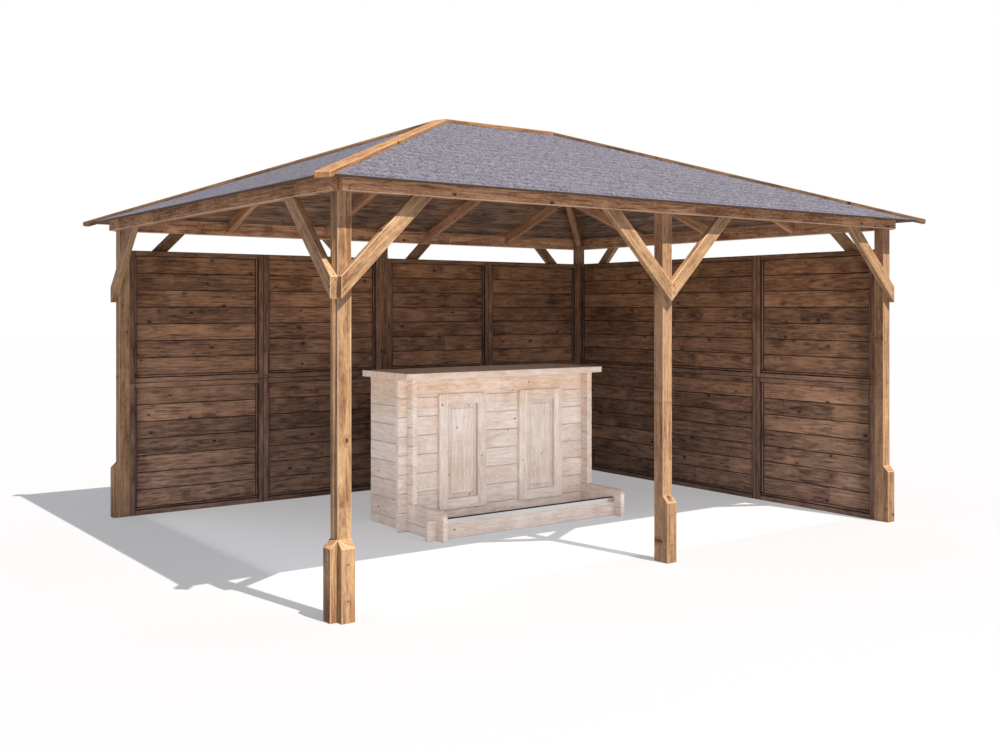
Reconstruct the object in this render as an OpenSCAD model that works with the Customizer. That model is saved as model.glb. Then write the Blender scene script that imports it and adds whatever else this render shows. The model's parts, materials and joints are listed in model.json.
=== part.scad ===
// Open hip-roofed timber gazebo with two panelled walls and a log-built bar.
// Origin: centre of the footprint on the ground. Front is -Y, right is +X, up is +Z.

/* [Posts] */
// Length over the outer faces of the posts, left to right
span_x = 5000; // [4400:50:6000]
// Depth over the outer faces of the posts, front to back
span_y = 3886; // [3400:50:4300]
// Side of each square post
post_w = 86; // [70:1:110]

/* [Beams] */
// Height of the underside of the beams
beam_low = 2356; // [2300:10:2600]
// Height of each beam at its inner face
beam_h = 114; // [100:1:160]
// Thickness of each beam
beam_t = 55; // [35:1:80]

/* [Braces] */
// Width of each brace
brace_w = 90; // [60:1:110]
// Thickness of each brace
brace_t = 45; // [30:1:55]
// Drop from the beam to the lowest tip of a brace
brace_drop = 591; // [450:1:800]

/* [Foot blocks] */
// Height of a foot block at its outer edge
block_h = 407; // [400:1:600]
// Thickness of a foot block, which is also the height of its bevel
block_t = 45; // [30:1:60]

/* [Roof frame] */
// Pitch of all four slopes in degrees
pitch = 20; // [15:1:28]
// Width of each common and jack rafter
rafter_w = 45; // [35:1:60]
// Plumb height of each common and jack rafter
rafter_h = 90; // [70:1:105]
// Spacing from each crown rafter to the jack rafter beside it
jack_step = 955; // [700:5:1100]
// Width of each hip rafter
hip_w = 45; // [35:1:60]
// Plumb height of each hip rafter at its centre line
hip_h = 107; // [90:1:130]
// Thickness of the ridge board
ridge_t = 45; // [25:1:60]
// Height of the ridge board
ridge_h = 140; // [110:1:200]

/* [Roof covering] */
// Overhang of the eaves beyond the posts, in plan
eave = 148; // [100:1:250]
// Thickness of the roof boards
deck_t = 12; // [9:0.5:20]
// Nominal width of a roof board
deck_board_w = 115; // [90:1:150]
// Thickness of the roofing felt
felt_t = 3; // [2:0.5:6]
// Projection of the felt past the edge of the boards
felt_over = 6; // [5:1:15]
// Depth of the felt strip tacked over the edge of the lowest boards
felt_drop = 8; // [3:0.5:9]
// Width of the hip and ridge caps
cap_w = 90; // [70:1:130]
// Thickness of a cap over the arris
cap_t = 15; // [10:1:30]
// Full thickness of a hip cap at its end, past the corner of the eaves
cap_end_t = 34; // [32:1:50]
// Distance in plan from the corner of the posts to the end of a hip cap, along each side
cap_reach = 190; // [170:1:280]

/* [Wall panels] */
// Height of one panel unit
unit_h = 1098.5; // [900:0.5:1110]
// Panel units in each bay of the back wall
back_units = 2; // [1:1:3]
// Panel units along the right wall
right_units = 3; // [2:1:4]
// Depth of the frame of a panel unit
wall_t = 45; // [30:1:60]
// Set-back of the wall from the inner faces of the posts
wall_recess = 6; // [2:1:15]
// Face width of a stile
stile_w = 45; // [30:1:70]
// Face width of the bottom rail
rail_low = 42; // [30:1:70]
// Face width of the top rail
rail_top = 43.5; // [30:0.5:70]
// Face width of the bead that holds the boards
bead_w = 23; // [15:1:35]
// Thickness of the bead
bead_t = 14; // [8:1:20]
// Thickness of the wall boards
board_t = 16; // [10:1:20]
// Boards in each panel unit
unit_boards = 7; // [5:1:9]

/* [Bar] */
// Thickness of each log
log_t = 40; // [28:1:60]
// Height of one course of logs
course_h = 146.5; // [120:0.1:170]
// Courses of logs
courses = 8; // [6:1:9]
// Distance between the outer faces of the side walls
bar_w = 1788; // [1600:2:2200]
// Shift of the middle of the bar to the right of the middle of the gazebo
bar_x = 2; // [-300:1:300]
// Position of the front face of the bar, in front of the middle of the gazebo
bar_front = 30; // [0:1:300]
// Position of the back ends of the side walls
bar_back = 533; // [450:1:700]
// Length of the log ends that pass a crossing
log_end = 79; // [60:1:120]
// Thickness of the bar top
top_t = 49; // [30:1:70]
// Overhang of the bar top in front of the logs
top_front = 133; // [100:1:200]
// Overhang of the bar top past the side walls
top_side = 78; // [20:1:110]
// Overhang of the bar top behind the side walls
top_back = 0; // [0:1:40]
// Boards across the bar top
top_boards = 5; // [3:1:7]

/* [Bar panels] */
// Distance from the middle of the bar to the centre line of each panel
panel_x = 392; // [330:1:420]
// Height of the bottom of each panel frame
panel_z = 138; // [60:1:180]
// Width over a panel frame
panel_w = 448; // [380:1:500]
// Height over a panel frame
panel_h = 905; // [800:1:1000]
// Face width of the frame members
frame_w = 80; // [60:1:110]
// Thickness of the frame members
frame_t = 28; // [20:1:36]
// Radius of the outer corners of a panel frame
frame_r = 14; // [6:1:20]
// Thickness of a panel field at its middle
field_t = 18; // [10:1:26]
// Thickness of a panel field at its edge
field_edge = 5; // [3:1:9]
// Width of the bevel round a panel field
field_bevel = 38; // [20:1:60]

/* [Foot rest] */
// Distance from the front face of the bar to the tips of the foot rest sides
rest_reach = 504; // [450:1:650]
// Distance from those tips to the front face of the cross log
rest_log_set = 85; // [60:1:140]
// Radius of the rounded upper corner of each side piece
rest_r = 50; // [20:1:58]
// Front leg of the metal edge strip
strip_front = 33; // [25:1:60]
// Top leg of the metal edge strip
strip_top = 40; // [25:1:60]
// Thickness of the metal edge strip
strip_t = 3; // [2:0.5:5]
// Thickness of the rubber grip on the top leg of the strip
grip_t = 3; // [2:0.5:6]

/* [Bar shelf] */
// Height of the top of the shelf
shelf_z = 610; // [450:1:800]
// Thickness of the shelf
shelf_t = 20; // [15:1:30]
// Set-back of the shelf from the back ends of the side walls
shelf_set = 40; // [10:1:150]
// Side of the square shelf battens
batten_w = 32; // [20:1:45]

/* [Fixings] */
// Diameter of the screw shank
screw_d = 6; // [4:0.5:8]
// Diameter of the countersunk head
screw_head_d = 12; // [10:0.5:15]
// Depth of a screw in the post
screw_bite = 40; // [25:1:55]
// Radial clearance round a screw
screw_play = 0.2; // [0.1:0.05:0.5]
// Distance between the two screws at the foot of a brace
brace_screw_gap = 50; // [30:1:56]
// Height of the lower screw of a foot block
block_screw_low = 120; // [60:1:160]
// Distance between the two screws of a foot block
block_screw_gap = 200; // [40:1:220]
// Height of a beam's screws above the underside of the beam
beam_screw_rise = 12; // [9:1:16]
// Extra height of the screws on the short sides, to pass those of the long sides
screw_stagger = 12; // [10:1:14]

/* [Fits] */
// Gap between neighbouring pieces of one set
fit_gap = 0.4; // [0.2:0.1:0.9]
// Bevel on the visible edges of boards and logs
v_bevel = 4; // [2:0.5:5]

/* [Hidden] */
$fn = 48;
half_x = span_x / 2;
half_y = span_y / 2;
ridge_half = half_x - half_y;
slope = tan(pitch);
cover_v = (deck_t + felt_t) / cos(pitch);
seat_z = deck_z(-post_w) - hip_h;
slope_len = (half_y + eave) / cos(pitch);
deck_n = ceil(slope_len / deck_board_w);
deck_step = slope_len / deck_n;
reach_out = eave + cap_reach;
hip_run = half_y * sqrt(2);
brace_cut = brace_w * sqrt(2);
brace_z = beam_low - brace_drop;
back_bay = (span_x - 3 * post_w) / 2;
back_unit_w = back_bay / back_units;
right_unit_w = (span_y - 2 * post_w) / right_units;
board_step = (unit_h - rail_low - rail_top - bead_w) / unit_boards;
bar_half = bar_w / 2;
bar_h = courses * course_h;
rest_tip = -bar_front - rest_reach;
rest_log_y = rest_tip + rest_log_set;
top_w = bar_w + 2 * top_side;
top_y0 = -bar_front - top_front;
top_step = (bar_back + top_back - top_y0) / top_boards;
honey = "peru";
brown = "saddlebrown";
dark = "#5b3d2c";
grey = "slategray";
pine = "#dcc6ae";

// Height of the underside of the roof boards at a plan distance outside the posts
function deck_z(r) = beam_low + beam_h - r * slope;

// Plan outline of one slope in the frame of its side, drawn back by m at the hips
function slope_plan(half, m) = half - half_y > m
    ? [[-half - reach_out + m, -reach_out], [half + reach_out - m, -reach_out],
       [half - half_y - m, half_y], [half_y + m - half, half_y]]
    : [[-half - reach_out + m, -reach_out], [half + reach_out - m, -reach_out],
       [0, half - m]];

// Frame of one side: x runs along it, -y points out of the building from the post faces
module side(turn, half) {
    rotate([0, 0, turn]) translate([0, -half, 0]) children();
}

module front_side() { side(0, half_y) children(); }
module right_side() { side(90, half_x) children(); }
module back_side() { side(180, half_y) children(); }
module left_side() { side(270, half_x) children(); }

// Outline in y and z, carried along x from x0 for a length
module along_x(x0, length, pts) {
    translate([x0, 0, 0]) rotate([90, 0, 90]) linear_extrude(length) polygon(pts);
}

// Outline in x and z, carried along -y from y0 for a length
module along_y(y0, length, pts) {
    translate([0, y0 + length, 0]) rotate([90, 0, 0]) linear_extrude(length) polygon(pts);
}

// Copies the first quarter of the building into another one
module quarter(sx, sy) {
    if (sx < 0) mirror([1, 0, 0]) quarter(1, sy) children();
    else if (sy < 0) mirror([0, 1, 0]) children();
    else children();
}

// Everything below the four roof planes, raised by a plumb lift
module roof_mass(lift) {
    rim = deck_z(reach_out) + lift;
    peak = deck_z(-half_y) + lift;
    intersection() {
        along_x(-half_x - reach_out, span_x + 2 * reach_out,
            [[-half_y - reach_out, 0], [half_y + reach_out, 0],
             [half_y + reach_out, rim], [0, peak], [-half_y - reach_out, rim]]);
        along_y(-half_y - reach_out, span_y + 2 * reach_out,
            [[-half_x - reach_out, 0], [half_x + reach_out, 0],
             [half_x + reach_out, rim], [ridge_half, peak],
             [-ridge_half, peak], [-half_x - reach_out, rim]]);
    }
}

// Countersunk screw with its head at the origin and its point towards +y
module screw(grip, play) {
    rotate([-90, 0, 0]) rotate_extrude()
        polygon([[0, 0], [screw_head_d / 2 + play, 0],
                 [screw_d / 2 + play, (screw_head_d - screw_d) / 2 + play],
                 [screw_d / 2 + play, grip + screw_bite + play],
                 [0, grip + screw_bite + screw_d / 2 + play]]);
}

// Screws of the braces on one side, at both corners and at a middle post
module side_brace_screws(half, middle, lift, play) {
    low = brace_z + (brace_cut + post_w / 2 - brace_screw_gap - screw_stagger) / 2 + lift;
    for (end = [-1, 1]) for (z = [low, low + brace_screw_gap]) {
        translate([end * (half - post_w / 4), -brace_t, z]) screw(brace_t, play);
        if (middle) translate([end * post_w / 4, -brace_t, z]) screw(brace_t, play);
    }
}

// Places of the post centres along one side
function stations(half, middle) = middle
    ? [-half + post_w / 2, 0, half - post_w / 2]
    : [-half + post_w / 2, half - post_w / 2];

module side_block_screws(half, middle, lift, play) {
    for (x = stations(half, middle)) for (z = [block_screw_low, block_screw_low + block_screw_gap])
        translate([x, -block_t, z + lift]) screw(block_t, play);
}

module side_beam_screws(half, middle, lift, play) {
    for (x = stations(half, middle))
        translate([x, -beam_t, beam_low + beam_screw_rise + lift]) screw(beam_t, play);
}

// All the screws that enter the posts from one side
module side_screws(half, middle, lift, play) {
    side_brace_screws(half, middle, lift, play);
    side_block_screws(half, middle, lift, play);
    side_beam_screws(half, middle, lift, play);
}

module corner_post(sx, sy) {
    color(honey) difference() {
        translate([sx > 0 ? half_x - post_w : -half_x, sy > 0 ? half_y - post_w : -half_y, 0])
            cube([post_w, post_w, seat_z]);
        if (sy < 0) front_side() side_screws(half_x, true, 0, screw_play);
        if (sy > 0) back_side() side_screws(half_x, true, 0, screw_play);
        if (sx < 0) left_side() side_screws(half_y, false, screw_stagger, screw_play);
        if (sx > 0) right_side() side_screws(half_y, false, screw_stagger, screw_play);
    }
}

// Middle post with its top cut to the underside of the rafter
module middle_post() {
    color(honey) difference() {
        along_x(-post_w / 2, post_w,
            [[0, 0], [post_w, 0], [post_w, deck_z(-post_w) - rafter_h], [0, deck_z(0) - rafter_h]]);
        side_screws(half_x, true, 0, screw_play);
    }
}

module post_front_left() { corner_post(-1, -1); }
module post_front_right() { corner_post(1, -1); }
module post_back_left() { corner_post(-1, 1); }
module post_back_right() { corner_post(1, 1); }
module post_front_mid() { front_side() middle_post(); }
module post_back_mid() { back_side() middle_post(); }

// Bevelled blocks planted on the feet of the posts of one side
module side_blocks(half, middle, lift) {
    color(honey) difference() {
        for (x = stations(half, middle))
            along_x(x - post_w / 2, post_w,
                [[0, 0], [0, block_h + block_t], [-block_t, block_h], [-block_t, 0]]);
        side_block_screws(half, middle, lift, screw_play);
    }
}

module foot_blocks_front() { front_side() side_blocks(half_x, true, 0); }
module foot_blocks_back() { back_side() side_blocks(half_x, true, 0); }
module foot_blocks_left() { left_side() side_blocks(half_y, false, screw_stagger); }
module foot_blocks_right() { right_side() side_blocks(half_y, false, screw_stagger); }

// Beam planted on the outer faces of the posts, its top cut to the roof
module side_beam(half, middle, lift) {
    color(brown) difference() {
        along_x(-half, 2 * half,
            [[0, beam_low], [0, deck_z(0)], [-beam_t, deck_z(beam_t)], [-beam_t, beam_low]]);
        side_beam_screws(half, middle, lift, screw_play);
    }
}

module beam_front() { front_side() side_beam(half_x, true, 0); }
module beam_back() { back_side() side_beam(half_x, true, 0); }
module beam_left() { left_side() side_beam(half_y, false, screw_stagger); }
module beam_right() { right_side() side_beam(half_y, false, screw_stagger); }

// One brace rising from x0 towards +x or -x
module brace(x0, way) {
    along_y(-brace_t, brace_t,
        [[x0, brace_z], [x0, brace_z + brace_cut],
         [x0 + way * (brace_drop - brace_cut), beam_low], [x0 + way * brace_drop, beam_low]]);
}

module side_braces(half, middle, lift) {
    color(honey) difference() {
        union() {
            brace(-half, 1);
            brace(half, -1);
            if (middle) {
                brace(fit_gap / 2, 1);
                brace(-fit_gap / 2, -1);
            }
        }
        side_brace_screws(half, middle, lift, screw_play);
    }
}

module braces_front() { front_side() side_braces(half_x, true, 0); }
module braces_back() { back_side() side_braces(half_x, true, 0); }
module braces_left() { left_side() side_braces(half_y, false, screw_stagger); }
module braces_right() { right_side() side_braces(half_y, false, screw_stagger); }

module ridge_board() {
    color(brown) intersection() {
        translate([-ridge_half - rafter_w / 2, -ridge_t / 2, deck_z(-half_y) - ridge_h])
            cube([2 * ridge_half + rafter_w, ridge_t, ridge_h]);
        roof_mass(0);
    }
}

// Rafter of one side at x, from the beam to the plan distance run inside it
module rafter(x, run) {
    along_x(x - rafter_w / 2, rafter_w,
        [[0, deck_z(0) - rafter_h], [run, deck_z(-run) - rafter_h], [run, deck_z(-run)], [0, deck_z(0)]]);
}

// Jack rafters of one side, cut to the cheeks of the hip rafters
module jacks(half, x) {
    for (end = [-1, 1]) intersection() {
        rafter(end * x, half_y);
        linear_extrude(deck_z(-half_y)) polygon(slope_plan(half, hip_w / sqrt(2)));
    }
}

module long_rafters() {
    color(brown) {
        rafter(0, half_y - ridge_t / 2);
        jacks(half_x, ridge_half + jack_step);
    }
}

module crown_rafters(turn) {
    color(brown) for (end = [-1, 1]) intersection() {
        side(turn, half_y) rafter(end * ridge_half, half_y - ridge_t / 2);
        roof_mass(0);
    }
}

module short_rafters() {
    color(brown) {
        rafter(0, half_y - rafter_w / 2);
        jacks(half_y, jack_step);
    }
}

module rafters_front() {
    front_side() long_rafters();
    crown_rafters(0);
}
module rafters_back() {
    back_side() long_rafters();
    crown_rafters(180);
}
module rafters_left() { left_side() short_rafters(); }
module rafters_right() { right_side() short_rafters(); }

// Hip rafter with a level seat on the post and both ends cut to a point
module hip_rafter(sx, sy) {
    seat_d = (half_y - post_w) * sqrt(2);
    color(brown) quarter(sx, sy) intersection() {
        translate([ridge_half, 0, 0]) rotate([0, 0, 45])
            along_y(-hip_w / 2, hip_w,
                [[0, deck_z(-half_y) - hip_h], [seat_d, seat_z], [hip_run, seat_z],
                 [hip_run, deck_z(0) + hip_w], [0, deck_z(-half_y) + hip_w]]);
        roof_mass(0);
        translate([ridge_half + rafter_w / 2, rafter_w / 2, 0])
            cube([half_y - rafter_w / 2, half_y - rafter_w / 2, deck_z(-half_y)]);
    }
}

module hip_rafter_front_left() { hip_rafter(-1, -1); }
module hip_rafter_front_right() { hip_rafter(1, -1); }
module hip_rafter_back_left() { hip_rafter(-1, 1); }
module hip_rafter_back_right() { hip_rafter(1, 1); }

// Frame of one slope: y runs up the slope from the eave, z stands square to it
module on_slope() {
    translate([0, -eave, deck_z(eave)]) rotate([pitch, 0, 0]) children();
}

// Boards of one slope, bevelled below at each joint and mitred at the hips
module slope_boards(half) {
    color(brown) for (i = [0 : deck_n - 1]) {
        t0 = i * deck_step + (i > 0 ? fit_gap / 2 : 0);
        t1 = (i + 1) * deck_step - fit_gap / 2;
        intersection() {
            on_slope() along_x(-half - reach_out, 2 * (half + reach_out),
                [[t0 + v_bevel / 2, 0], [t1 - v_bevel / 2, 0], [t1, v_bevel / 2],
                 [t1, deck_t], [t0, deck_t], [t0, v_bevel / 2]]);
            linear_extrude(deck_z(-half_y) + cover_v) polygon(slope_plan(half, fit_gap / 2));
        }
    }
}

module roof_boards_front() { front_side() slope_boards(half_x); }
module roof_boards_back() { back_side() slope_boards(half_x); }
module roof_boards_left() { left_side() slope_boards(half_y); }
module roof_boards_right() { right_side() slope_boards(half_y); }

// Felt of one slope, and the strip below its lower edge
module slope_felt(half) {
    color(grey) intersection() {
        on_slope() along_x(-half - reach_out, 2 * (half + reach_out),
            [[-felt_t, deck_t - felt_drop], [0, deck_t - felt_drop],
             [0, deck_t - fit_gap], [-felt_t, deck_t - fit_gap]]);
        linear_extrude(deck_z(-half_y) + cover_v) polygon(slope_plan(half, fit_gap / 2));
    }
    color(grey) intersection() {
        on_slope() along_x(-half - reach_out, 2 * (half + reach_out),
            [[-felt_over, deck_t], [slope_len - deck_t * slope, deck_t],
             [slope_len - (deck_t + felt_t) * slope, deck_t + felt_t], [-felt_over, deck_t + felt_t]]);
        linear_extrude(deck_z(-half_y) + cover_v) polygon(slope_plan(half, fit_gap / 2));
    }
}

module felt_front() { front_side() slope_felt(half_x); }
module felt_back() { back_side() slope_felt(half_x); }
module felt_left() { left_side() slope_felt(half_y); }
module felt_right() { right_side() slope_felt(half_y); }

// Flat cap board along a hip, grooved below to sit on both slopes as far as their eaves
module hip_cap(sx, sy) {
    peak = deck_z(-half_y) + cover_v + cap_t;
    long = (half_y + cap_reach) * sqrt(2);
    tip = cap_w / 2 * tan(22.5);
    rim = eave + felt_over + deck_t;
    color(honey) quarter(sx, sy) difference() {
        translate([ridge_half, 0, 0]) rotate([0, 0, 45]) intersection() {
            linear_extrude(peak)
                polygon([[fit_gap, 0], [tip + fit_gap, cap_w / 2], [long, cap_w / 2],
                         [long, -cap_w / 2], [cap_w / 2 + fit_gap, -cap_w / 2]]);
            along_y(-cap_w / 2, cap_w,
                [[0, peak - cap_end_t], [long, peak - cap_end_t - long * slope / sqrt(2)],
                 [long, peak - long * slope / sqrt(2)], [0, peak]]);
        }
        intersection() {
            roof_mass(cover_v);
            cube([2 * (half_x + rim), 2 * (half_y + rim), 3 * peak], center = true);
        }
    }
}

module hip_cap_front_left() { hip_cap(-1, -1); }
module hip_cap_front_right() { hip_cap(1, -1); }
module hip_cap_back_left() { hip_cap(-1, 1); }
module hip_cap_back_right() { hip_cap(1, 1); }

// Flat cap board along the ridge, its ends cut to meet the hip caps
module ridge_cap() {
    peak = deck_z(-half_y) + cover_v + cap_t;
    tip = cap_w / 2 * tan(22.5);
    color(honey) difference() {
        translate([0, 0, peak - cap_end_t]) linear_extrude(cap_end_t)
            polygon([[-ridge_half, 0], [tip - ridge_half, -cap_w / 2], [ridge_half - tip, -cap_w / 2],
                     [ridge_half, 0], [ridge_half - tip, cap_w / 2], [tip - ridge_half, cap_w / 2]]);
        roof_mass(cover_v);
    }
}

// Frame of one panel unit: two stiles with two rails between them
module unit_frame(w) {
    depth0 = post_w - wall_recess - wall_t;
    for (x = [fit_gap / 2, w - stile_w - fit_gap / 2])
        translate([x, depth0, 0]) cube([stile_w, wall_t, unit_h - fit_gap]);
    for (z = [[0, rail_low], [unit_h - fit_gap - rail_top, rail_top]])
        translate([stile_w + fit_gap, depth0, z[0]])
            cube([w - 2 * stile_w - 2 * fit_gap, wall_t, z[1]]);
}

// Horizontal boards of one panel unit, flush with the outside of its frame
module unit_infill(w) {
    y0 = post_w - wall_recess - wall_t;
    y1 = y0 + board_t;
    x0 = stile_w + fit_gap;
    for (i = [0 : unit_boards - 1]) {
        z0 = rail_low + fit_gap / 2 + (i > 0 ? bead_w + i * board_step : 0);
        z1 = rail_low + bead_w + (i + 1) * board_step - fit_gap / 2;
        along_x(x0, w - 2 * x0,
            [[y0 + v_bevel, z0], [y1 - v_bevel, z0], [y1, z0 + v_bevel], [y1, z1 - v_bevel],
             [y1 - v_bevel, z1], [y0 + v_bevel, z1], [y0, z1 - v_bevel], [y0, z0 + v_bevel]]);
    }
}

// Beads along the foot and both sides of the boards of one panel unit
module unit_beads(w) {
    y0 = post_w - wall_recess - wall_t + board_t;
    x0 = stile_w + fit_gap;
    translate([x0, y0, rail_low]) cube([w - 2 * x0, bead_t, bead_w]);
    for (x = [x0, w - x0 - bead_w])
        translate([x, y0, rail_low + bead_w + fit_gap])
            cube([bead_w, bead_t, unit_h - rail_low - rail_top - bead_w - 2 * fit_gap]);
}

// Places one panel unit in every bay and row of the back wall
module back_wall_units() {
    for (bay = [post_w - half_x, post_w / 2]) for (i = [0 : back_units - 1]) for (row = [0, 1])
        back_side() translate([bay + i * back_unit_w, 0, row * unit_h]) children();
}

// Places one panel unit in every column and row of the right wall
module right_wall_units() {
    for (i = [0 : right_units - 1]) for (row = [0, 1])
        right_side() translate([post_w - half_y + i * right_unit_w, 0, row * unit_h]) children();
}

module wall_back_frames() { color(dark) back_wall_units() unit_frame(back_unit_w); }
module wall_back_boards() { color(dark) back_wall_units() unit_infill(back_unit_w); }
module wall_back_beads() { color(brown) back_wall_units() unit_beads(back_unit_w); }
module wall_right_frames() { color(dark) right_wall_units() unit_frame(right_unit_w); }
module wall_right_boards() { color(dark) right_wall_units() unit_infill(right_unit_w); }
module wall_right_beads() { color(brown) right_wall_units() unit_beads(right_unit_w); }

// Section of a log: a board on edge with bevelled arrises, from a to b across and z0 to z1 in height
function log_section(a, b, z0, z1) = [
    [a + v_bevel, z0], [b - v_bevel, z0], [b, z0 + v_bevel], [b, z1 - v_bevel],
    [b - v_bevel, z1], [a + v_bevel, z1], [a, z1 - v_bevel], [a, z0 + v_bevel]];

// Space that the crossing logs need in a log whose face starts at x and y, one course high
module notch(x, y, z) {
    translate([x - fit_gap, y - fit_gap, z]) cube([log_t + 2 * fit_gap, log_t + 2 * fit_gap, course_h]);
}

// Corner of a square that lies outside a quarter round of radius r about the origin
module corner_waste(r) {
    difference() {
        square(2 * r);
        circle(r);
    }
}

module at_bar() { translate([bar_x, 0, 0]) children(); }

// Log across the bar with its front face at y, notched above and below for the side logs
module cross_log(y, course) {
    difference() {
        along_x(-bar_half - log_end, bar_w + 2 * log_end,
            log_section(y, y + log_t, course * course_h, (course + 1) * course_h - fit_gap));
        for (x = [-bar_half, bar_half - log_t]) {
            notch(x, y, (course - 0.75) * course_h);
            if (course < courses - 1) notch(x, y, (course + 0.75) * course_h - fit_gap);
        }
    }
}

module bar_front_logs() {
    color(pine) at_bar() for (i = [0 : courses - 1]) cross_log(-bar_front, i);
}

// Side log number i from y0 to the back, half a course lower than cross log number i. The lowest one
// is half a log, and the uppermost one is half a course taller. Cross logs pass above and below.
module side_log(y0, i, above, below) {
    low = max(i - 0.5, 0) * course_h;
    high = (i == courses - 1 ? courses : i + 0.5) * course_h;
    difference() {
        along_y(y0, bar_back - y0, log_section(-log_t, 0, low, high - fit_gap));
        for (y = above) notch(-log_t, y, (i + 0.25) * course_h - fit_gap);
        for (y = below) notch(-log_t, y, (i - 1.25) * course_h);
    }
}

// Second side log, which runs out to the foot rest and is rounded at its upper front corner
module rest_side_log() {
    difference() {
        side_log(rest_tip, 1, [-bar_front], [-bar_front, rest_log_y]);
        translate([log_t, rest_tip + rest_r, 1.5 * course_h - fit_gap - rest_r]) rotate([90, 0, -90])
            linear_extrude(3 * log_t) corner_waste(rest_r);
    }
}

// Side wall of the bar with its outer face at x = 0
module bar_side_wall() {
    side_log(rest_tip, 0, [-bar_front, rest_log_y], []);
    rest_side_log();
    for (i = [2 : courses - 1]) side_log(-bar_front - log_end, i, [-bar_front], [-bar_front]);
}

module bar_right_logs() { color(pine) at_bar() translate([bar_half, 0, 0]) bar_side_wall(); }
module bar_left_logs() { color(pine) at_bar() mirror([1, 0, 0]) translate([bar_half, 0, 0]) bar_side_wall(); }

module bar_top() {
    color(pine) at_bar() for (i = [0 : top_boards - 1])
        translate([-top_w / 2, top_y0 + i * top_step + (i > 0 ? fit_gap : 0), bar_h])
            cube([top_w, top_step - (i > 0 ? fit_gap : 0), top_t]);
}

// Frame of one bar panel: two stiles with rounded outer corners and two rails, planted on the logs
module panel_frame() {
    for (turn = [0, 180]) translate([0, -bar_front, panel_z + panel_h / 2]) rotate([90, 0, 0])
        linear_extrude(frame_t) rotate(turn) difference() {
            translate([panel_w / 2 - frame_w, -panel_h / 2]) square([frame_w, panel_h]);
            translate([panel_w / 2 - frame_r, panel_h / 2 - frame_r]) corner_waste(frame_r);
            translate([panel_w / 2 - frame_r, frame_r - panel_h / 2]) rotate(-90) corner_waste(frame_r);
        }
    for (z = [panel_z, panel_z + panel_h - frame_w])
        translate([-panel_w / 2 + frame_w + fit_gap, -bar_front - frame_t, z])
            cube([panel_w - 2 * frame_w - 2 * fit_gap, frame_t, frame_w]);
}

// Raised field of one bar panel, bevelled on all four sides
module panel_field() {
    w = panel_w / 2 - frame_w - fit_gap;
    h0 = panel_z + frame_w + fit_gap;
    h1 = panel_z + panel_h - frame_w - fit_gap;
    face = -bar_front;
    intersection() {
        translate([0, 0, h0]) linear_extrude(h1 - h0)
            polygon([[-w, face], [-w, face - field_edge], [field_bevel - w, face - field_t],
                     [w - field_bevel, face - field_t], [w, face - field_edge], [w, face]]);
        along_x(-w, 2 * w,
            [[face, h0], [face - field_edge, h0], [face - field_t, h0 + field_bevel],
             [face - field_t, h1 - field_bevel], [face - field_edge, h1], [face, h1]]);
    }
}

// Places one bar panel to the left and right of the middle of the bar
module both_panels() {
    at_bar() for (x = [-panel_x, panel_x]) translate([x, 0, 0]) children();
}

module bar_panel_frames() { color(pine) both_panels() panel_frame(); }
module bar_panel_fields() { color(pine) both_panels() panel_field(); }

module bar_shelf() {
    front = log_t - bar_front;
    color(pine) at_bar() translate([-bar_half + log_t + fit_gap, front + fit_gap, shelf_z - shelf_t])
        cube([bar_w - 2 * log_t - 2 * fit_gap, bar_back - shelf_set - front - fit_gap, shelf_t]);
}

module bar_shelf_battens() {
    front = log_t - bar_front;
    color(pine) at_bar() for (x = [-bar_half + log_t, bar_half - log_t - batten_w])
        translate([x, front + fit_gap, shelf_z - shelf_t - batten_w])
            cube([batten_w, bar_back - shelf_set - front - fit_gap, batten_w]);
}

module foot_rest_log() { color(pine) at_bar() cross_log(rest_log_y, 0); }

// Metal angle over the upper front edge of the foot rest log, between the side pieces
module foot_rest_strip() {
    top = course_h - fit_gap;
    w = bar_half - log_t - fit_gap;
    color("silver") at_bar() along_x(-w, 2 * w,
        [[rest_log_y, top - strip_front], [rest_log_y - strip_t, top - strip_front],
         [rest_log_y - strip_t, top + strip_t], [rest_log_y + strip_top, top + strip_t],
         [rest_log_y + strip_top, top], [rest_log_y, top]]);
}

// Rubber grip on the whole top leg of the strip, its upper edges bevelled
module foot_rest_grip() {
    top = course_h - fit_gap + strip_t;
    w = bar_half - log_t - fit_gap;
    y0 = rest_log_y - strip_t;
    y1 = rest_log_y + strip_top;
    b = grip_t / 2;
    color("#2e2a2b") at_bar() along_x(-w, 2 * w,
        [[y0, top], [y1, top], [y1, top + b], [y1 - b, top + grip_t], [y0 + b, top + grip_t], [y0, top + b]]);
}

module brace_screws() {
    color("silver") {
        front_side() side_brace_screws(half_x, true, 0, 0);
        back_side() side_brace_screws(half_x, true, 0, 0);
        left_side() side_brace_screws(half_y, false, screw_stagger, 0);
        right_side() side_brace_screws(half_y, false, screw_stagger, 0);
    }
}

module foot_block_screws() {
    color("silver") {
        front_side() side_block_screws(half_x, true, 0, 0);
        back_side() side_block_screws(half_x, true, 0, 0);
        left_side() side_block_screws(half_y, false, screw_stagger, 0);
        right_side() side_block_screws(half_y, false, screw_stagger, 0);
    }
}

module beam_screws() {
    color("silver") {
        front_side() side_beam_screws(half_x, true, 0, 0);
        back_side() side_beam_screws(half_x, true, 0, 0);
        left_side() side_beam_screws(half_y, false, screw_stagger, 0);
        right_side() side_beam_screws(half_y, false, screw_stagger, 0);
    }
}

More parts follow.
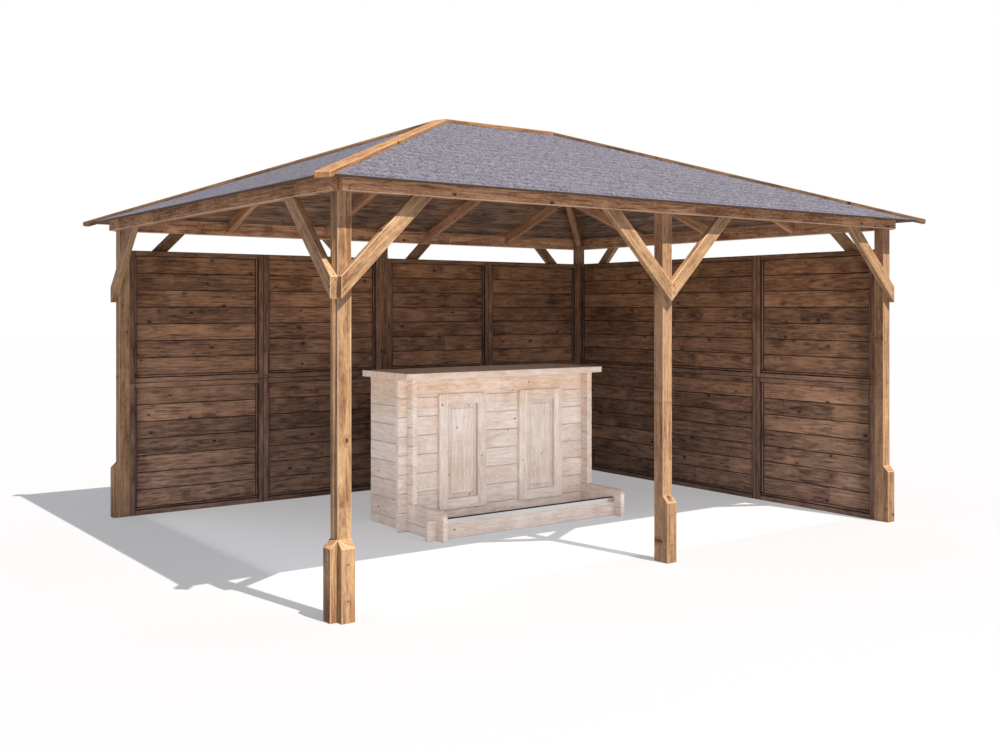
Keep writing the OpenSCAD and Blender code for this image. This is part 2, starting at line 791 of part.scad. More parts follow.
post_front_left();
post_front_mid();
post_front_right();
post_back_left();
post_back_mid();
post_back_right();
foot_blocks_front();
foot_blocks_back();
foot_blocks_left();
foot_blocks_right();
beam_front();
beam_back();
beam_left();
beam_right();
braces_front();
braces_back();
braces_left();
braces_right();
ridge_board();
hip_rafter_front_left();
hip_rafter_front_right();
hip_rafter_back_left();
hip_rafter_back_right();
rafters_front();
rafters_back();
rafters_left();
rafters_right();
roof_boards_front();
roof_boards_back();
roof_boards_left();
roof_boards_right();
felt_front();
felt_back();
felt_left();
felt_right();
hip_cap_front_left();
hip_cap_front_right();
hip_cap_back_left();
hip_cap_back_right();
ridge_cap();
wall_back_frames();
wall_back_boards();
wall_back_beads();
wall_right_frames();
wall_right_boards();
wall_right_beads();
bar_front_logs();
bar_left_logs();
bar_right_logs();
bar_top();
bar_panel_frames();
bar_panel_fields();
bar_shelf();
bar_shelf_battens();
foot_rest_log();
foot_rest_strip();
foot_rest_grip();
brace_screws();
foot_block_screws();
beam_screws();
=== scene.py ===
import json
import math

import bmesh
import bpy
import numpy as np
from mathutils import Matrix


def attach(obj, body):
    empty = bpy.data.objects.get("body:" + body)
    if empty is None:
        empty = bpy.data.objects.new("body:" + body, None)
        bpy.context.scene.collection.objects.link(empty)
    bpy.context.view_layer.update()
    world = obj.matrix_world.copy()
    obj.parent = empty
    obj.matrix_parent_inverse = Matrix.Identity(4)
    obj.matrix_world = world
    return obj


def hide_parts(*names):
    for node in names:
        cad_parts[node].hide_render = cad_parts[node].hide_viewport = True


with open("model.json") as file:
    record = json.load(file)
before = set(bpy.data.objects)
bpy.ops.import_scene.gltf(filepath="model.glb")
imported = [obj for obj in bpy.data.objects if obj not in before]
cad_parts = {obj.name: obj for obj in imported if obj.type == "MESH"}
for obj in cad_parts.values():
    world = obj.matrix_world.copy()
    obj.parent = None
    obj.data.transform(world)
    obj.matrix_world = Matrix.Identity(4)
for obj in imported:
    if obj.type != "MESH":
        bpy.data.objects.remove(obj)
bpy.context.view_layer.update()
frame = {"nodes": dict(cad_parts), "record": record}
slots = {s["node"]: s["material_slot"] for s in frame["record"]["subparts"]}
chance = np.random.default_rng(11)


def linear(hex_code):
    """Linear RGBA of an sRGB hex value."""
    c = np.array([int(hex_code[i : i + 2], 16) for i in (1, 3, 5)]) / 255
    c = np.where(c <= 0.04045, c / 12.92, ((c + 0.055) / 1.055) ** 2.4)
    return (*c.tolist(), 1.0)


def add(tree, kind, inputs=None, **settings):
    """Adds a node with its settings, then fills its inputs: a socket is linked, anything else is set."""
    node = tree.nodes.new("ShaderNode" + kind)
    for key, value in settings.items():
        setattr(node, key, value)
    for key, value in (inputs or {}).items():
        if isinstance(value, bpy.types.NodeSocket):
            tree.links.new(value, node.inputs[key])
        else:
            node.inputs[key].default_value = value
    return node


def blank(name):
    """A new material with its shader joined to the output."""
    mat = bpy.data.materials.new(name)
    mat.use_nodes = True
    tree = mat.node_tree
    tree.nodes.clear()
    shader = add(tree, "BsdfPrincipled")
    add(tree, "OutputMaterial", {"Surface": shader.outputs["BSDF"]})
    return mat, tree, shader


def softwood(name, pale, deep, knot, arris, joint, rough, spread=0.06, contrast=1.0, knots=0.2, eye=0.10,
             halo_reach=0.16, lines=(3.0, 90.0), flecks=(30.0, 95.0), paleness=0.6, patches=0.45,
             full_colour=(0.0, 1.0, 1.0, 1.0)):
    """Planed softwood under a stain. Growth lines follow the rings of a log whose heart lies beside the
    board, drawn 9 to 17 mm apart where the real ones are 3 mm, so that they show, and curl round the
    knots. A knot is up to 40 by 26 mm. Their number is set by knots, their size by eye and the stain
    round them by halo_reach. Over the lines lie flecks, mostly 33 by 11 mm, 83 by 12 mm on the walls and
    111 by 20 mm on the ceiling, bands 60 mm wide, stretches 400 mm long and patches of stain 200 by
    110 mm. The attribute "grain" gives each board its own run of the wood and "tone" its own shade.
    "arris" marks the eased edges, which are painted pale in the arris colour: a painted highlight for the
    light that a rounded edge catches. "groove" marks the bevels of joints and the dark-painted edges and
    sides of beads and frames, which take the joint colour: painted shade in the grooves and seams.
    full_colour is a lower and an upper height and the colour strength there, so that the colour grows
    weaker or stronger with height. Lines, flecks and all scales are repeats a metre, along and across the
    board."""
    knot_cells, knot_blur, curl = (5.5, 8.5, 0.0), 0.02, 0.55
    bend_scale, bend_reach = (1.6, 6.0, 6.0), 0.05
    stretches, stretch_weight, line_weight, half_range = 2.5, 0.14, 0.85, 0.26
    layers = ((1.6, 16.0, 3.0, 0.45), (*flecks, 2.0, 0.50), (5.0, 9.0, 4.0, patches))
    halo_share, spot_share = 0.35, 0.9
    mat, tree, shader = blank(name)
    grain = add(tree, "Attribute", attribute_name="grain").outputs["Vector"]
    tone = add(tree, "Attribute", attribute_name="tone").outputs["Fac"]
    edge = add(tree, "Attribute", attribute_name="arris").outputs["Fac"]
    groove = add(tree, "Attribute", attribute_name="groove").outputs["Fac"]
    height = add(tree, "SeparateXYZ", {"Vector": add(tree, "TexCoord").outputs["Object"]}).outputs[2]

    knot_space = add(tree, "Mapping", {"Vector": grain, "Scale": knot_cells}).outputs[0]
    cells = add(tree, "TexVoronoi", {"Vector": knot_space, "Scale": 1.0, "Randomness": 1.0},
                voronoi_dimensions="2D")
    pick = add(tree, "SeparateColor", {"Color": cells.outputs["Color"]}).outputs[0]
    size = add(tree, "MapRange", {"Value": pick, "From Min": 1 - knots, "From Max": 1.0,
                                  "To Min": 0.0, "To Max": eye}).outputs[0]
    inside = add(tree, "Math", {0: size, 1: cells.outputs["Distance"]}, operation="SUBTRACT").outputs[0]
    spot = add(tree, "MapRange", {"Value": inside, "From Min": -knot_blur, "From Max": knot_blur}).outputs[0]
    halo = add(tree, "MapRange", {"Value": inside, "From Min": -halo_reach, "From Max": knot_blur}).outputs[0]
    swirl = add(tree, "Math", {0: halo, 1: size}, operation="MULTIPLY").outputs[0]
    swirl = add(tree, "Math", {0: swirl, 1: curl}, operation="MULTIPLY").outputs[0]

    parts = add(tree, "SeparateXYZ", {"Vector": grain})
    wander = add(tree, "Mapping", {"Vector": grain, "Scale": bend_scale}).outputs[0]
    bend = add(tree, "TexNoise", {"Vector": wander, "Scale": 1.0, "Detail": 2.0}).outputs["Fac"]
    flat = add(tree, "CombineXYZ", {"X": 0.0, "Y": parts.outputs[1], "Z": parts.outputs[2]}).outputs[0]
    radius = add(tree, "VectorMath", {0: flat}, operation="LENGTH").outputs["Value"]
    radius = add(tree, "Math", {0: bend, 1: bend_reach, 2: radius}, operation="MULTIPLY_ADD").outputs[0]
    radius = add(tree, "Math", {0: radius, 1: swirl}, operation="ADD").outputs[0]
    ringed = add(tree, "CombineXYZ", {"X": parts.outputs[0], "Y": radius, "Z": 0.0}).outputs[0]
    ringed = add(tree, "Mapping", {"Vector": ringed, "Scale": (*lines, 1.0)}).outputs[0]
    line = add(tree, "TexNoise", {"Vector": ringed, "Scale": 1.0, "Detail": 3.0, "Roughness": 0.6},
               noise_dimensions="2D").outputs["Fac"]

    stretch = add(tree, "Math", {0: parts.outputs[0], 1: stretches}, operation="MULTIPLY").outputs[0]
    stretch = add(tree, "Math", {0: stretch}, operation="FLOOR").outputs[0]
    stretch = add(tree, "TexWhiteNoise", {"W": stretch}, noise_dimensions="1D").outputs["Value"]
    level = add(tree, "Math", {0: stretch, 1: stretch_weight}, operation="MULTIPLY").outputs[0]
    level = add(tree, "Math", {0: line, 1: line_weight, 2: level}, operation="MULTIPLY_ADD").outputs[0]
    for along, across, detail, weight in layers:
        drawn = add(tree, "Mapping", {"Vector": grain, "Scale": (along, across, across)}).outputs[0]
        patch = add(tree, "TexNoise", {"Vector": drawn, "Scale": 1.0, "Detail": detail,
                                       "Roughness": 0.6}).outputs["Fac"]
        level = add(tree, "Math", {0: patch, 1: weight, 2: level}, operation="MULTIPLY_ADD").outputs[0]
    middle = (stretch_weight + line_weight + sum(layer[-1] for layer in layers)) / 2
    level = add(tree, "MapRange", {"Value": level, "From Min": middle - half_range / contrast,
                                   "From Max": middle + half_range / contrast}).outputs[0]
    colour = add(tree, "Mix", {0: level, 6: linear(deep), 7: linear(pale)}, data_type="RGBA").outputs[2]
    shade = add(tree, "MapRange", {"Value": tone, "To Min": 1 - spread, "To Max": 1 + spread}).outputs[0]
    shade = add(tree, "CombineColor", {0: shade, 1: shade, 2: shade}).outputs[0]
    colour = add(tree, "Mix", {0: 1.0, 6: colour, 7: shade}, data_type="RGBA",
                 blend_type="MULTIPLY").outputs[2]
    low, high, weak, strong = full_colour
    keep = add(tree, "MapRange", {"Value": height, "From Min": low, "From Max": high,
                                  "To Min": weak, "To Max": strong}).outputs[0]
    colour = add(tree, "HueSaturation", {"Saturation": keep, "Color": colour}).outputs[0]
    # Knot halos and spots take the knot colour; eased edges take the arris colour, a painted highlight for
    # the light that a rounded edge catches; faces marked as grooves take the joint colour, painted shade.
    for mark, share, paint in ((halo, halo_share, knot), (spot, spot_share, knot), (edge, paleness, arris),
                               (groove, 1.0, joint)):
        share = add(tree, "Math", {0: mark, 1: share}, operation="MULTIPLY").outputs[0]
        colour = add(tree, "Mix", {0: share, 6: colour, 7: linear(paint)}, data_type="RGBA").outputs[2]
    tree.links.new(colour, shader.inputs["Base Color"])
    shine = add(tree, "MapRange", {"Value": level, "To Min": rough + 0.08, "To Max": rough - 0.06}).outputs[0]
    tree.links.new(shine, shader.inputs["Roughness"])
    shader.inputs["Specular IOR Level"].default_value = 0.3
    bump = add(tree, "Bump", {"Height": level, "Strength": 0.35, "Distance": 0.0012}).outputs[0]
    tree.links.new(bump, shader.inputs["Normal"])
    return mat


# Front left and back left posts, front and side braces and most foot blocks, all planed: a warm brown
# stain that glows honey in the sun
post_timber = softwood("honey_stained_softwood", "#cda57e", "#7c563a", "#472b1c", "#d6b18d", "#3a2418", 0.66,
                       knots=0.10, lines=(2.5, 110.0), paleness=0.8)
# Middle and right front posts and the front foot blocks: the same stain, a little darker
darker_post_timber = softwood("darker_honey_softwood", "#c39a77", "#75523a", "#472b1c", "#c9a07a", "#3a2418", 0.66,
                        knots=0.12, lines=(2.5, 110.0), paleness=0.8)
# Middle and right back posts and the back braces: a darker copy of the same stain, painted shade for parts
# that are never in the sun
shade_timber = softwood("stained_softwood_painted_shade", "#a67b5c", "#5a3e2c", "#2e1d14", "#ad8566", "#2a1a12", 0.68,
                        contrast=1.1, knots=0.15)
# Cap boards on the hips and ridge in the sun: the same stain, a little darker and redder
cap_timber = softwood("fresh_stained_cap_boards", "#bd8e62", "#7c543a", "#52301c", "#c79c74", "#3a2418", 0.66,
                      knots=0.12, lines=(2.5, 100.0))
# Cap boards on two of the hips: a darker copy, painted shade for hips seen on their shaded side
painted_shade_caps = softwood("cap_boards_painted_shade", "#a37d58", "#5e432f", "#2e1d14", "#7d604a", "#2a1a12", 0.70,
                     contrast=1.2, lines=(3.0, 60.0))
# Beams: the same stain a little paler and redder, in the shade of the eaves, with dark knots, and their long
# edges painted pale as a painted highlight
beam_timber = softwood("red_brown_stained_beams", "#dba983", "#80523a", "#3c2318", "#ecd0b6", "#2a1a12", 0.66,
                       contrast=1.2, knots=0.30, halo_reach=0.10, lines=(4.0, 80.0), paleness=0.9)
# Rafters and ridge: sawn, a plainer brown
rafter_timber = softwood("brown_stained_rafters", "#cb9975", "#845a42", "#3c2318", "#c9a386", "#2a1a12", 0.68,
                         spread=0.10, knots=0.22, paleness=0.7)
# Roof boards seen from below: greyer, with long dark streaks
ceiling_timber = softwood("grey_brown_ceiling_boards", "#9c7a63", "#432e23", "#29180f", "#8f7260", "#1e120c",
                          0.72, spread=0.28, contrast=1.15, knots=0.18, halo_reach=0.10,
                          lines=(2.5, 60.0), flecks=(9.0, 50.0), patches=0.5)
# Wall boards: darker, the tone changing from board to board, with ringed knots
wall_timber = softwood("dark_stained_wall_boards", "#a87a59", "#4c3224", "#26160f", "#946c52", "#1c100b",
                       0.70, spread=0.24, contrast=1.02, knots=0.16, eye=0.11, halo_reach=0.13,
                       lines=(4.5, 95.0), flecks=(12.0, 85.0), patches=0.35,
                       full_colour=(0.2, 2.0, 0.80, 1.02))
# Wall frames and beads: the same stain on planed faces, so paler and more even, with painted shade along
# every seam and on their eased edges and sides
frame_timber = softwood("dark_stained_wall_frames", "#9f7559", "#533829", "#26160f", "#946c52", "#170d09",
                        0.68, spread=0.12, knots=0.10, halo_reach=0.10, lines=(4.0, 95.0),
                        flecks=(12.0, 85.0), patches=0.3, full_colour=(0.2, 2.0, 0.80, 1.02))
# Bar: pale pine under a thin whitewash, with fine dark pin knots and its uppermost logs yellower; the bevels
# where its logs meet and round its panel fields are painted brown, painted shade in the grooves
bar_pine = softwood("whitewashed_pine", "#f0e3da", "#d6bfae", "#4c372b", "#f4ebe4", "#a98a78", 0.60,
                    spread=0.04, contrast=1.1, eye=0.055, halo_reach=0.03, lines=(6.0, 100.0),
                    full_colour=(0.90, 1.10, 1.0, 1.5))
# Bar top: the same pine under a thin clear satin varnish, which dulls to the walls' brown at a low angle
top_pine = softwood("varnished_pine", "#e9d6c8", "#cdb09c", "#4c372b", "#efe0d4", "#a98a78", 0.50,
                    spread=0.04, eye=0.055, halo_reach=0.03, lines=(6.0, 100.0))
varnish = top_pine.node_tree.nodes["Principled BSDF"]
varnish.inputs["Coat Weight"].default_value = 0.35
varnish.inputs["Coat Roughness"].default_value = 0.22
varnish.inputs["Coat IOR"].default_value = 1.5


def mineral_felt():
    """Roofing felt with crushed slate pressed into bitumen: 2 mm grit, drawn as speckle 9 mm wide and
    twice as long up the slope so that it shows, over a 17 mm mottle and patches of 450 mm where it lies
    thinner. Places are halved along those axes that the slope leans towards by a third or more. The joints
    of the boards below, 111 mm apart up the slope and so 38 mm apart in height, show through as faint
    lines. The cut edge and the underside are bare bitumen."""
    mat, tree, shader = blank("slate_grit_roofing_felt")
    grit_cells, mottle_cells, patch_cells, joint_rise = 110.0, 60.0, 2.2, 0.03805
    grit_weight, mottle_weight, patch_weight, line_weight = 0.85, 0.4, 0.2, -0.16
    lowest, highest, bare_below, laid_above = 0.1, 1.2, 0.6, 0.8
    coord = add(tree, "TexCoord")
    place = coord.outputs["Object"]
    laid = add(tree, "VectorMath", {0: coord.outputs["Normal"]}, operation="ABSOLUTE").outputs[0]
    for step, first, second in (("MULTIPLY", 3.0, 0.0), ("MINIMUM", 1.0, 0.0), ("MULTIPLY_ADD", -0.5, 1.0)):
        laid = add(tree, "VectorMath", {0: laid, 1: (first,) * 3, 2: (second,) * 3},
                   operation=step).outputs[0]
    laid = add(tree, "VectorMath", {0: place, 1: laid}, operation="MULTIPLY").outputs[0]
    grit = add(tree, "TexVoronoi", {"Vector": laid, "Scale": grit_cells}).outputs["Color"]
    grit = add(tree, "SeparateColor", {"Color": grit}).outputs[0]
    patch = add(tree, "TexNoise", {"Vector": place, "Scale": patch_cells, "Detail": 5.0,
                                   "Roughness": 0.6}).outputs["Fac"]
    mottle = add(tree, "TexNoise", {"Vector": laid, "Scale": mottle_cells, "Detail": 3.0,
                                    "Roughness": 0.6}).outputs["Fac"]
    mottle = add(tree, "Math", {0: mottle, 1: mottle_weight}, operation="MULTIPLY").outputs[0]
    height = add(tree, "SeparateXYZ", {"Vector": place}).outputs[2]
    line = add(tree, "Math", {0: height, 1: 2 * math.pi / joint_rise}, operation="MULTIPLY").outputs[0]
    line = add(tree, "Math", {0: line}, operation="SINE").outputs[0]
    line = add(tree, "MapRange", {"Value": line, "From Min": 0.2, "From Max": 1.0}).outputs[0]
    level = add(tree, "Math", {0: grit, 1: grit_weight, 2: mottle}, operation="MULTIPLY_ADD").outputs[0]
    level = add(tree, "Math", {0: patch, 1: patch_weight, 2: level}, operation="MULTIPLY_ADD").outputs[0]
    level = add(tree, "Math", {0: line, 1: line_weight, 2: level}, operation="MULTIPLY_ADD").outputs[0]
    level = add(tree, "MapRange", {"Value": level, "From Min": lowest, "From Max": highest}).outputs[0]
    colour = add(tree, "Mix", {0: level, 6: linear("#2f2d36"), 7: linear("#807d8b")},
                 data_type="RGBA").outputs[2]
    upward = add(tree, "SeparateXYZ", {"Vector": coord.outputs["Normal"]}).outputs[2]
    covered = add(tree, "MapRange", {"Value": upward, "From Min": bare_below,
                                     "From Max": laid_above}).outputs[0]
    colour = add(tree, "Mix", {0: covered, 6: linear("#6b5c56"), 7: colour}, data_type="RGBA").outputs[2]
    tree.links.new(colour, shader.inputs["Base Color"])
    shader.inputs["Roughness"].default_value = 0.92
    shader.inputs["Specular IOR Level"].default_value = 0.2
    bump = add(tree, "Bump", {"Height": level, "Strength": 0.6, "Distance": 0.003}).outputs[0]
    tree.links.new(bump, shader.inputs["Normal"])
    return mat


def brushed_steel():
    """Stainless angle, brushed along its length: scratches 1 mm wide and 300 mm long."""
    mat, tree, shader = blank("brushed_stainless_strip")
    scratches = (3.0, 900.0, 900.0)
    place = add(tree, "TexCoord").outputs["Object"]
    drawn = add(tree, "Mapping", {"Vector": place, "Scale": scratches}).outputs[0]
    line = add(tree, "TexNoise", {"Vector": drawn, "Scale": 1.0, "Detail": 3.0}).outputs["Fac"]
    paleness = add(tree, "MapRange", {"Value": line, "From Min": 0.3, "From Max": 0.7}).outputs[0]
    colour = add(tree, "Mix", {0: paleness, 6: linear("#b4b3b2"), 7: linear("#d2d1cf")},
                 data_type="RGBA").outputs[2]
    tree.links.new(colour, shader.inputs["Base Color"])
    shine = add(tree, "MapRange", {"Value": line, "To Min": 0.24, "To Max": 0.40}).outputs[0]
    tree.links.new(shine, shader.inputs["Roughness"])
    shader.inputs["Metallic"].default_value = 1.0
    return mat


def ribbed_rubber():
    """Black rubber grip with ribs along its whole length, 4 mm apart and dusty on their crests."""
    mat, tree, shader = blank("ribbed_black_rubber")
    rib_gap, rib_height = 0.004, 0.0006
    place = add(tree, "TexCoord").outputs["Object"]
    across = add(tree, "SeparateXYZ", {"Vector": place}).outputs[1]
    rib = add(tree, "Math", {0: across, 1: 2 * math.pi / rib_gap}, operation="MULTIPLY").outputs[0]
    rib = add(tree, "Math", {0: rib}, operation="SINE").outputs[0]
    dust = add(tree, "TexNoise", {"Vector": place, "Scale": 60.0, "Detail": 4.0}).outputs["Fac"]
    crest = add(tree, "Math", {0: rib, 1: 0.3, 2: dust}, operation="MULTIPLY_ADD").outputs[0]
    crest = add(tree, "MapRange", {"Value": crest, "From Min": 0.2, "From Max": 0.9}).outputs[0]
    colour = add(tree, "Mix", {0: crest, 6: linear("#141213"), 7: linear("#2b282a")},
                 data_type="RGBA").outputs[2]
    tree.links.new(colour, shader.inputs["Base Color"])
    shader.inputs["Roughness"].default_value = 0.75
    bump = add(tree, "Bump", {"Height": rib, "Strength": 0.5, "Distance": rib_height}).outputs[0]
    tree.links.new(bump, shader.inputs["Normal"])
    return mat


def coated_screw():
    """Brown corrosion coating on steel screws, thin and mottled in 3 mm patches."""
    mat, tree, shader = blank("brown_coated_screws")
    film_patches = 330.0
    place = add(tree, "TexCoord").outputs["Object"]
    film = add(tree, "TexNoise", {"Vector": place, "Scale": film_patches, "Detail": 2.0}).outputs["Fac"]
    film = add(tree, "MapRange", {"Value": film, "From Min": 0.3, "From Max": 0.7}).outputs[0]
    colour = add(tree, "Mix", {0: film, 6: linear("#4c3728"), 7: linear("#7a5b40")},
                 data_type="RGBA").outputs[2]
    tree.links.new(colour, shader.inputs["Base Color"])
    shader.inputs["Roughness"].default_value = 0.55
    return mat


finishes = {"roofing_felt": mineral_felt(), "strip_steel": brushed_steel(), "grip_rubber": ribbed_rubber(),
            "coated_screws": coated_screw()}


def solid_numbers(count, ends):
    """Number of the solid that each vertex belongs to: every vertex takes the lowest number at the
    far end of its edges, again and again, until nothing changes."""
    label = np.arange(count)
    while True:
        low = np.minimum(label[ends[:, 0]], label[ends[:, 1]])
        reached = label.copy()
        np.minimum.at(reached, ends[:, 0], low)
        np.minimum.at(reached, ends[:, 1], low)
        reached = reached[reached]
        if (reached == label).all():
            return np.unique(label, return_inverse=True)[1]
        label = reached


def eased(node, ease, least):
    """The node's solids with their triangles joined into whole faces and, where ease isn't 0, every arris
    longer than least rounded over by that radius in two narrow facets. Returns the mesh and a mark on
    each facet."""
    same_point, same_plane, arris_angle = 2e-5, math.radians(0.7), 0.3
    bm = bmesh.new()
    bm.from_mesh(frame["nodes"][node].data)
    bmesh.ops.remove_doubles(bm, verts=bm.verts, dist=same_point)
    bmesh.ops.dissolve_limit(bm, angle_limit=same_plane, verts=bm.verts, edges=bm.edges)
    sharp = [edge for edge in bm.edges if len(edge.link_faces) == 2 and edge.calc_face_angle(0) > arris_angle
             and edge.calc_length() > least]
    made = {"faces": []}
    if ease > 0:
        made = bmesh.ops.bevel(bm, geom=sharp, offset=ease, offset_type="OFFSET", segments=2, profile=0.5,
                               affect="EDGES", clamp_overlap=True)
    bm.faces.index_update()
    facets = [f.index for f in made["faces"]]
    mesh = bpy.data.meshes.new("timber_" + node)
    bm.to_mesh(mesh)
    bm.free()
    mark = np.zeros(len(mesh.polygons), dtype=np.float32)
    mark[facets] = 1.0
    return mesh, mark


def placed(name, data):
    """A new object in the scene."""
    thing = bpy.data.objects.new(name, data)
    bpy.context.scene.collection.objects.link(thing)
    return thing


def timber(node, finish, ease=0.004, least=0.02, lighten=1.0, darken=0.0, joint=0.0, sides=0.0, swell=0.0):
    """Dresses one CAD node as timber. Each solid gets its own axes: along its longest edge, along the
    normal of its largest face, and across both. Vertices are written in those axes, measured from a
    heart line that lies somewhere beside the solid, as grain = (along, across, through) in metres.
    An eased arris is painted pale by lighten, a painted highlight for the light that the rounded edge
    catches, and painted dark by darken, painted shade. A face that is square to none of the axes and is
    no eased arris counts as a groove by joint, which paints shade into it, and a face that looks along
    the wall, not out of it, counts as one by sides. Both long edges of each solid move out by swell,
    which closes the gap between neighbours."""
    run_length, heart_aside, heart_depth = 40, 0.05, (0.01, 0.06)
    rim_width, square_from, along_wall_below = 1e-4, 0.97, 0.3
    mesh, mark = eased(node, ease, least)
    count = len(mesh.vertices)
    place = np.empty(count * 3, dtype=np.float32)
    mesh.vertices.foreach_get("co", place)
    place = place.reshape(-1, 3).astype(float)
    ends = np.empty(len(mesh.edges) * 2, dtype=np.int32)
    mesh.edges.foreach_get("vertices", ends)
    ends = ends.reshape(-1, 2)
    owner = solid_numbers(count, ends)
    total = owner.max() + 1
    run = place[ends[:, 1]] - place[ends[:, 0]]
    length = np.linalg.norm(run, axis=1)
    order = np.lexsort((length, owner[ends[:, 0]]))
    last = np.searchsorted(owner[ends[:, 0]][order], np.arange(total), side="right") - 1
    along = run[order[last]] / length[order[last]][:, None]
    faces = len(mesh.polygons)
    area = np.empty(faces, dtype=np.float32)
    normal = np.empty(faces * 3, dtype=np.float32)
    first = np.empty(faces, dtype=np.int32)
    corner = np.empty(len(mesh.loops), dtype=np.int32)
    mesh.polygons.foreach_get("area", area)
    mesh.polygons.foreach_get("normal", normal)
    mesh.polygons.foreach_get("loop_start", first)
    mesh.loops.foreach_get("vertex_index", corner)
    face_owner = owner[corner[first]]
    order = np.lexsort((area, face_owner))
    last = np.searchsorted(face_owner[order], np.arange(total), side="right") - 1
    through = normal.reshape(-1, 3)[order[last]].astype(float)
    through -= (through * along).sum(1)[:, None] * along
    through /= np.linalg.norm(through, axis=1)[:, None]
    across = np.cross(through, along)
    middle = np.zeros((total, 3))
    np.add.at(middle, owner, place)
    middle /= np.bincount(owner)[:, None]
    step = place - middle[owner]
    grain = np.stack([(step * a[owner]).sum(1) for a in (along, across, through)], axis=1)
    if swell > 0:
        rim = np.zeros(total)
        np.maximum.at(rim, owner, np.abs(grain[:, 1]))
        outer = np.abs(grain[:, 1]) > rim[owner] - rim_width
        place[outer] += swell * np.sign(grain[outer, 1])[:, None] * across[owner[outer]]
        mesh.vertices.foreach_set("co", place.astype(np.float32).ravel())
    heart = np.stack([chance.uniform(0, run_length, total), chance.uniform(-heart_aside, heart_aside, total),
                      chance.uniform(*heart_depth, total) * chance.choice([-1, 1], total)], axis=1)
    grain = (grain + heart[owner]).astype(np.float32)
    tone = chance.uniform(0, 1, total)[owner].astype(np.float32)
    turned = normal.reshape(-1, 3)
    square = np.max([np.abs((turned * a[face_owner]).sum(1)) for a in (along, across, through)], axis=0)
    bevel = np.where((square < square_from) & (mark == 0), joint, 0.0)
    out_of_wall = np.abs(turned[:, np.ptp(place, axis=0).argmin()])
    bevel = np.where((sides > 0) & (out_of_wall < along_wall_below), sides, bevel)
    bevel = np.where(mark > 0, darken, bevel).astype(np.float32)
    for name, kind, domain, key, values in (("grain", "FLOAT_VECTOR", "POINT", "vector", grain.ravel()),
                                            ("tone", "FLOAT", "POINT", "value", tone),
                                            ("arris", "FLOAT", "FACE", "value", mark * lighten),
                                            ("groove", "FLOAT", "FACE", "value", bevel)):
        mesh.attributes.new(name, kind, domain).data.foreach_set(key, values)
    mesh.materials.append(finish)
    piece = placed("timber_" + node, mesh)
    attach(piece, "root")
    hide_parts(node)


# Finish by material slot, and by node where one differs from the rest of its slot
woods = {"stained_posts": post_timber, "cap_timber": cap_timber, "roof_timber": rafter_timber,
         "wall_timber": frame_timber, "bar_pine": bar_pine, "varnished_pine": top_pine}
own_wood = {"hip_cap_back_left": painted_shade_caps, "hip_cap_front_right": painted_shade_caps, "post_back_mid": shade_timber,
            "post_back_right": shade_timber, "braces_back": shade_timber, "beam_front": beam_timber,
            "beam_back": beam_timber, "beam_left": beam_timber, "beam_right": beam_timber}
own_wood.update({name: ceiling_timber for name in slots if name.startswith("roof_boards")})
own_wood.update({name: wall_timber for name in slots if name.startswith("wall") and "boards" in name})
own_wood.update({name: darker_post_timber for name in ("post_front_mid", "post_front_right", "foot_blocks_front")})
# Logs and boards keep their sharp arrises, all other timbers have theirs eased by radii in metres
for name in sorted(frame["nodes"]):
    if slots[name] in woods:
        make = {}
        # Logs and boards: the bevels where they meet are painted dark, painted shade in the grooves
        if name.endswith("logs"):
            make = {"ease": 0.0, "joint": 0.45}
        elif "boards" in name:
            make = {"ease": 0.0, "joint": 0.9, "swell": 0.0002 if "wall" in name else 0.0}
        # Beads and wall frames: eased edges and the sides that look along the wall are painted dark, painted
        # shade along the bead lines
        elif name.endswith("beads"):
            make = {"ease": 0.006, "lighten": 0.0, "darken": 0.85, "sides": 0.8}
        elif name.startswith("wall"):
            make = {"ease": 0.003, "lighten": 0.0, "darken": 0.8, "sides": 0.8}
        elif name.startswith("beam"):
            make = {"least": 0.5}
        # Bar panel frames: eased edges painted half pale, a painted highlight
        elif name == "bar_panel_frames":
            make = {"ease": 0.006, "least": 0.2, "lighten": 0.5}
        # Bar panel fields: eased edges and bevels painted dark, painted shade round the recessed field
        elif name == "bar_panel_fields":
            make = {"ease": 0.003, "least": 0.1, "lighten": 0.0, "darken": 0.6, "joint": 0.12}
        timber(name, own_wood.get(name, woods[slots[name]]), **make)
    else:
        mesh = frame["nodes"][name].data
        mesh.materials.clear()
        mesh.materials.append(finishes[slots[name]])

# Pale floor, duller for the light that it throws back than for the eye, so that timber stays brown below
floor = placed("pale_floor", bpy.data.meshes.new("pale_floor"))
reach = 60.0
floor.data.from_pydata([(-reach, -reach, 0), (reach, -reach, 0), (reach, reach, 0), (-reach, reach, 0)],
                       [], [(0, 1, 2, 3)])
floor_mat = bpy.data.materials.new("pale_studio_floor")
floor_mat.use_nodes = True
tree = floor_mat.node_tree
tree.nodes.clear()
rays = add(tree, "LightPath")
seen = add(tree, "Math", {0: rays.outputs["Is Camera Ray"], 1: rays.outputs["Is Glossy Ray"]},
           operation="MAXIMUM").outputs[0]
dull = add(tree, "BsdfDiffuse", {"Color": linear("#909090")}).outputs[0]
matt = add(tree, "BsdfDiffuse", {"Color": linear("#99999f")}).outputs[0]
glow = add(tree, "Emission", {"Color": (1.0, 1.0, 0.985, 1), "Strength": 0.33}).outputs[0]
bright = add(tree, "AddShader", {0: matt, 1: glow}).outputs[0]
both = add(tree, "MixShader", {0: seen, 1: dull, 2: bright}).outputs[0]
add(tree, "OutputMaterial", {"Surface": both})
floor.data.materials.append(floor_mat)

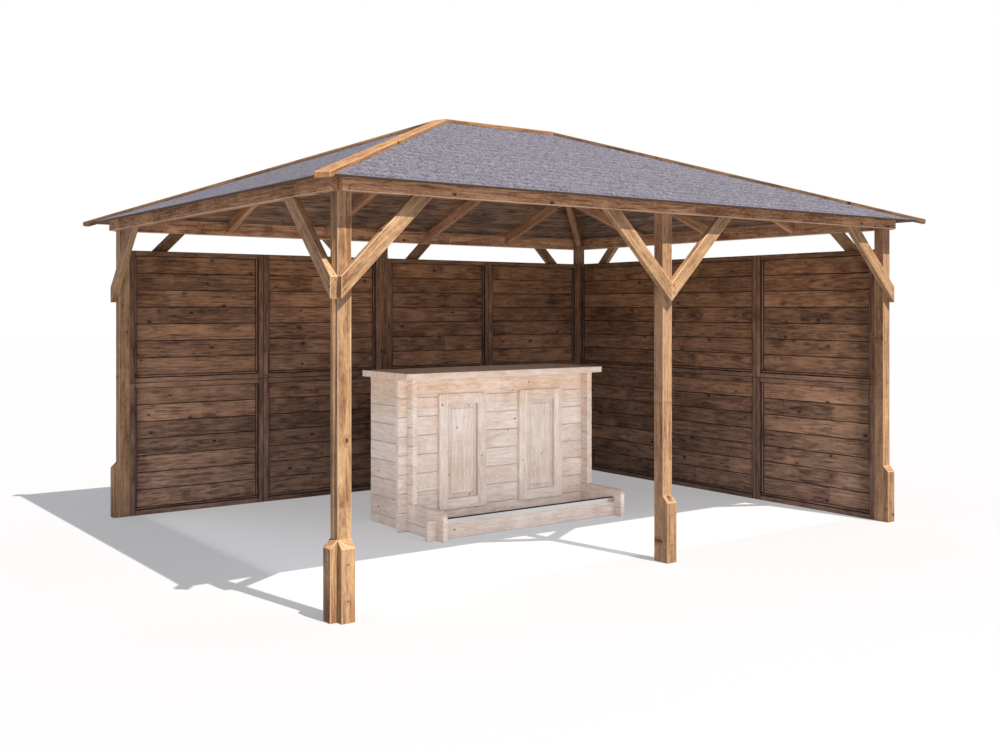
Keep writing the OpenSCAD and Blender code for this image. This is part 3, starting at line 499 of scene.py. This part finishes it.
# White paper for the camera, a faint blue sky for everything that it lights
world = bpy.data.worlds.new("soft_sky")
bpy.context.scene.world = world
world.use_nodes = True
tree = world.node_tree
tree.nodes.clear()
direct = add(tree, "LightPath").outputs["Is Camera Ray"]
fill = add(tree, "Background", {"Color": (0.94, 0.97, 1.2, 1), "Strength": 0.35}).outputs[0]
paper = add(tree, "Background", {"Color": (1, 1, 1, 1), "Strength": 1.0}).outputs[0]
both = add(tree, "MixShader", {0: direct, 1: fill, 2: paper}).outputs[0]
add(tree, "OutputWorld", {"Surface": both})

# The key light falls from high up: for each metre of height this far from the right and from the front
from_right, from_front = 0.099, 0.584
lamp = bpy.data.lights.new("key_light", "SUN")
lamp.energy = 6.5
lamp.angle = math.radians(0.5)
lamp.color = (1.0, 0.965, 0.84)
key = placed("key_light", lamp)
key.rotation_euler = (math.atan(math.hypot(from_right, from_front)), 0.0, math.atan2(from_right, from_front))

# Broad soft lights that the camera doesn't see: one before the front for the faces in the shade, one in
# each open side, which light the bar and the walls as the bright ground outside would, and a faint one
# under the roof for the bar top
panels = (("front_panel", 6.0, 3.0, 72.0, (-1.5, -9.0, 1.8), 86, -9),
          ("front_opening", 4.6, 1.5, 28.0, (0.0, -1.72, 0.85), 90, 0),
          ("left_opening", 3.6, 1.5, 16.0, (-2.35, 0.0, 0.85), 90, -90),
          ("over_bar", 1.5, 0.5, 1.2, (0.0, 0.2, 2.1), 0, 0))
for name, width, height, watts, place, lean, turn in panels:
    panel = bpy.data.lights.new(name, "AREA")
    panel.shape = "RECTANGLE"
    panel.size = width
    panel.size_y = height
    panel.energy = watts
    soft = placed(name, panel)
    soft.location = place
    soft.rotation_euler = (math.radians(lean), 0.0, math.radians(turn))
    soft.visible_camera = False

# The camera that was solved from the photograph's perspective
camera = bpy.data.cameras.new("camera")
camera.lens = 40.17
camera.sensor_width = 36.0
camera.shift_y = -0.0659
camera.clip_end = 200.0
eye = placed("camera", camera)
eye.location = (-5.3694, -7.3811, 1.7118)
eye.rotation_euler = (math.radians(90), 0.0, math.radians(-36.10))
bpy.context.scene.camera = eye
bpy.context.scene.view_settings.view_transform = "Standard"
